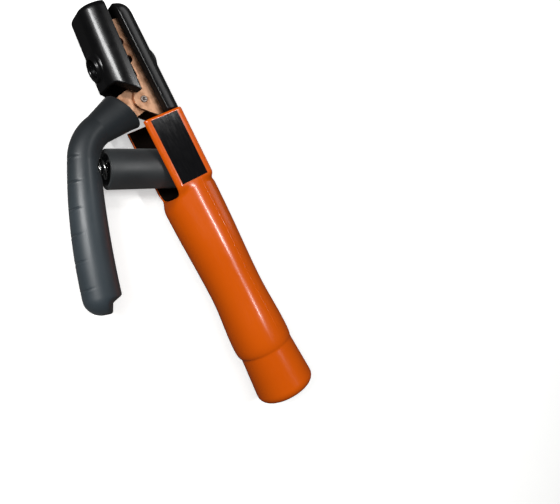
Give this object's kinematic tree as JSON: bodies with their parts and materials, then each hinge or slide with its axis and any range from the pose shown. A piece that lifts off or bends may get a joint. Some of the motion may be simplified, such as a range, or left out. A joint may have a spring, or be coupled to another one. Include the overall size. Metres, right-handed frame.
{
  "type": "welding electrode holder",
  "caption": "Spring-jaw welding electrode holder with a round orange grip, black jaw covers, and a rubber-sleeved squeeze lever on a coil spring.",
  "frame": {"origin": "centre of the cable inlet's mouth, on the handle's axis", "axes": "+X along the handle to the jaws, +Y to the squeeze lever, +Z across the holder, away from the surface that it lies on"},
  "size_m": [0.2667, 0.1085, 0.0396],
  "materials": {
    "orange_plastic": "glossy moulded, slightly worn",
    "label_film": "glossy black, bare",
    "black_bakelite": "glossy pressed",
    "coppered_steel": "thin copper plate on pressed sheet",
    "zinc_steel": "zinc plated",
    "bright_steel": "bright drawn",
    "rubber_tube": "matte",
    "rubber_hose": "satin"
  },
  "bodies": {
    "holder_body": {"handle": "orange_plastic", "label": "label_film", "handle_screw": "zinc_steel", "body_channel": "coppered_steel", "cable_socket": "coppered_steel", "socket_rivets": "zinc_steel", "clamp_screws": "zinc_steel", "pivot_rivet": "bright_steel", "pivot_bush": "bright_steel", "fixed_jaw_cover": "black_bakelite", "fixed_cover_screw": "zinc_steel", "fixed_cover_nut": "zinc_steel", "spring_seat": "coppered_steel", "lever_spring": "bright_steel", "spring_sleeve": "rubber_tube"},
    "lever": {"lever_channel": "coppered_steel", "moving_jaw_cover": "black_bakelite", "moving_cover_screw": "zinc_steel", "moving_cover_nut": "zinc_steel", "lever_sleeve": "rubber_hose", "lever_spring_stud": "zinc_steel"}
  },
  "joints": [
    {"name": "lever_pivot", "type": "hinge", "parent": "holder_body", "child": "lever", "pos_m": [0.208, 0.002, 0], "axis": [0, 0, 1], "range_deg": [0, 12], "stiffness_Nm_per_rad": 8, "springref_deg": -11.46, "deforming": ["lever_spring", "spring_sleeve"]}
  ]
}
